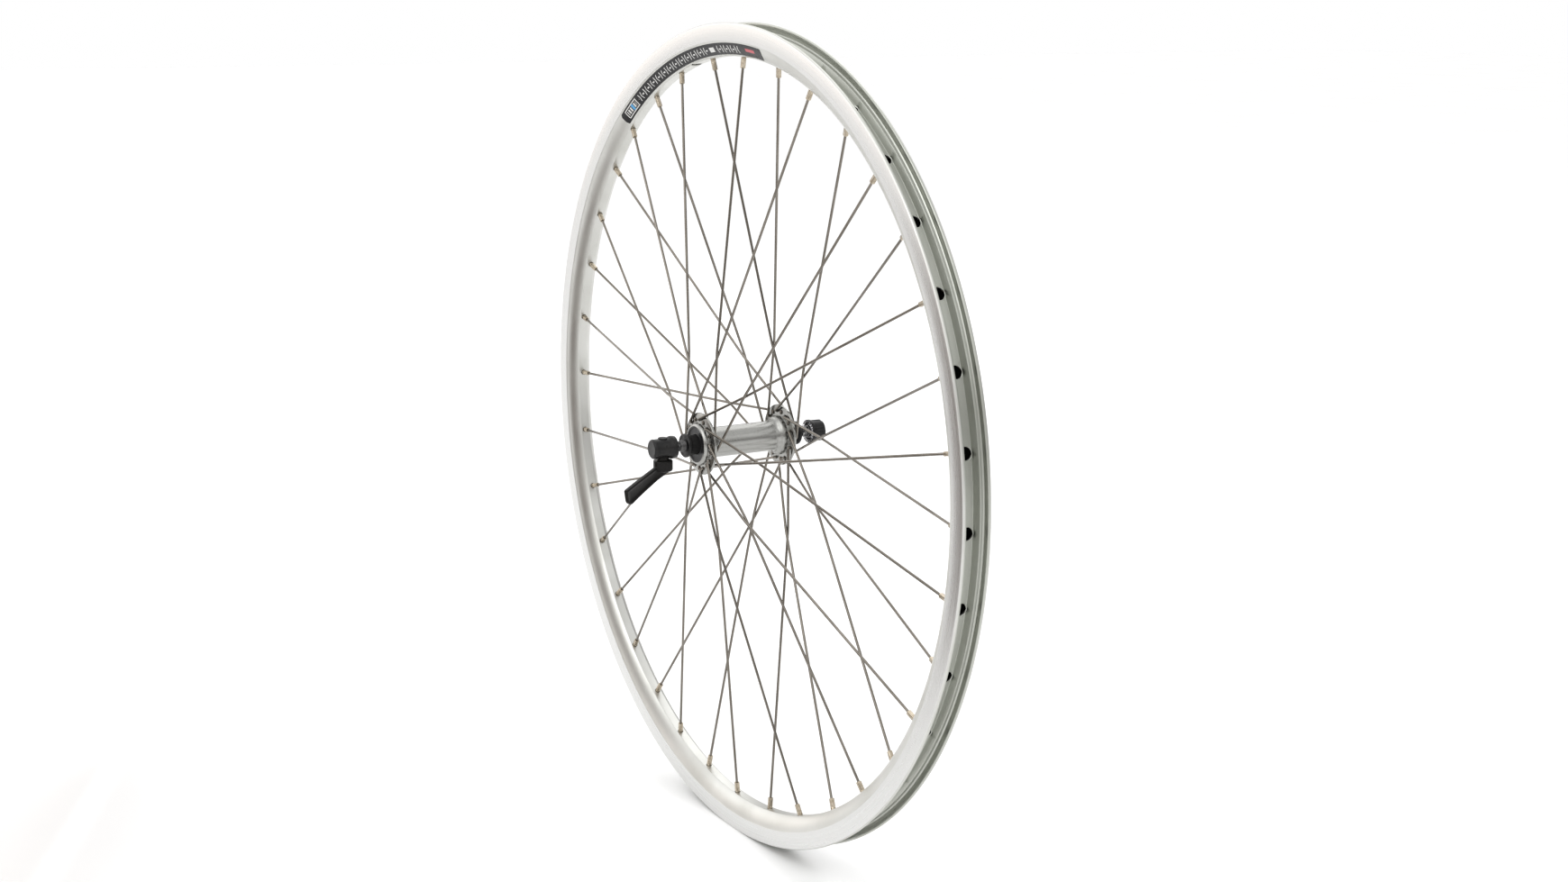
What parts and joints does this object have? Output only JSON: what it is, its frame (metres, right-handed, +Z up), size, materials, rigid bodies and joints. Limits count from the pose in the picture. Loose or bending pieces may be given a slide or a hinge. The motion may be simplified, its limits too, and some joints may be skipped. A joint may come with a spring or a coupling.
{
  "type": "quick-release front bicycle wheel",
  "caption": "Rim-brake front wheel with laced spokes, a cup-and-cone hub turning on a hollow axle, and a cam-lever quick-release skewer with adjusting nut.",
  "frame": {"origin": "centre of the wheel, on the axle midway between the fork ends", "axes": "+Y along the axle from the lever to the adjusting nut, +Z up"},
  "size_m": [0.635, 0.1815, 0.635],
  "materials": {
    "anodised_silver": "satin anodised, machined brake tracks",
    "polished_hub": "polished",
    "stainless_spoke": "drawn stainless wire",
    "nickelled_brass": "nickel-plated brass",
    "bearing_steel": "ground and polished",
    "plated_steel": "zinc plated",
    "black_steel": "black oxide",
    "black_alloy": "satin black",
    "black_plastic": "moulded",
    "black_rubber": "moulded rubber",
    "decal_film": "printed film",
    "spring_steel": "bright wire"
  },
  "bodies": {
    "axle": {"hollow_axle": "plated_steel", "lever_side_cone": "plated_steel", "lever_side_washer": "plated_steel", "lever_side_locknut": "black_steel", "lever_side_rubber_boot": "black_rubber", "nut_side_cone": "plated_steel", "nut_side_washer": "plated_steel", "nut_side_locknut": "black_steel", "nut_side_rubber_boot": "black_rubber"},
    "wheel": {"rim": "anodised_silver", "rim_joint_sleeve": "anodised_silver", "rim_decal": "decal_film", "hub_shell": "polished_hub", "lever_side_outer_spokes": "stainless_spoke", "lever_side_inner_spokes": "stainless_spoke", "nut_side_outer_spokes": "stainless_spoke", "nut_side_inner_spokes": "stainless_spoke", "lever_side_nipples": "nickelled_brass", "nut_side_nipples": "nickelled_brass", "lever_side_bearing_cup": "bearing_steel", "lever_side_dust_cap": "black_plastic", "nut_side_bearing_cup": "bearing_steel", "nut_side_dust_cap": "black_plastic"},
    "lever_side_bearing": {"lever_side_bearing_balls": "bearing_steel", "lever_side_ball_retainer": "plated_steel"},
    "nut_side_bearing": {"nut_side_bearing_balls": "bearing_steel", "nut_side_ball_retainer": "plated_steel"},
    "cam_housing_set": {"cam_housing": "black_alloy", "housing_end_cap": "black_plastic", "lever_side_clamp_ring": "black_steel", "lever_side_spring": "spring_steel"},
    "lever": {"quick_release_lever": "black_alloy"},
    "rod": {"skewer_rod": "plated_steel"},
    "nut_ring": {"nut_clamp_ring": "plated_steel", "nut_side_spring": "spring_steel"},
    "nut": {"adjusting_nut": "black_plastic"}
  },
  "joints": [
    {"name": "wheel_spin", "type": "hinge", "parent": "axle", "child": "wheel", "pos_m": [0, 0, 0], "axis": [0, 1, 0], "continuous": true},
    {"name": "lever_side_cage_spin", "type": "hinge", "parent": "axle", "child": "lever_side_bearing", "pos_m": [0, -0.0352, 0], "axis": [0, 1, 0], "continuous": true},
    {"name": "nut_side_cage_spin", "type": "hinge", "parent": "axle", "child": "nut_side_bearing", "pos_m": [0, 0.0352, 0], "axis": [0, 1, 0], "continuous": true},
    {"name": "skewer_turn", "type": "hinge", "parent": "axle", "child": "cam_housing_set", "pos_m": [0, -0.068, 0], "axis": [0, 1, 0], "continuous": true},
    {"name": "lever_swing", "type": "hinge", "parent": "cam_housing_set", "child": "lever", "pos_m": [0, -0.068, 0], "axis": [0, 0, 1], "range_deg": [-114, 66]},
    {"name": "rod_pull", "type": "slide", "parent": "cam_housing_set", "child": "rod", "axis": [0, 1, 0], "range_m": [-0.00096, 0.00166]},
    {"name": "nut_travel", "type": "slide", "parent": "rod", "child": "nut_ring", "axis": [0, 1, 0], "range_m": [-0.00551, 0.00751], "deforming": ["nut_side_spring"]},
    {"name": "nut_turn", "type": "hinge", "parent": "nut_ring", "child": "nut", "pos_m": [0, 0.066, 0], "axis": [0, 1, 0], "range_deg": [-2475, 3375]}
  ],
  "couplings": [
    {"joint": "lever_side_cage_spin", "follows": "wheel_spin", "ratio": 0.59676},
    {"joint": "nut_side_cage_spin", "follows": "wheel_spin", "ratio": 0.59676},
    {"joint": "rod_pull", "follows": "lever_swing", "m_per_rad": -0.00082761},
    {"joint": "nut_travel", "follows": "nut_turn", "m_per_rad": 0.00012732}
  ]
}
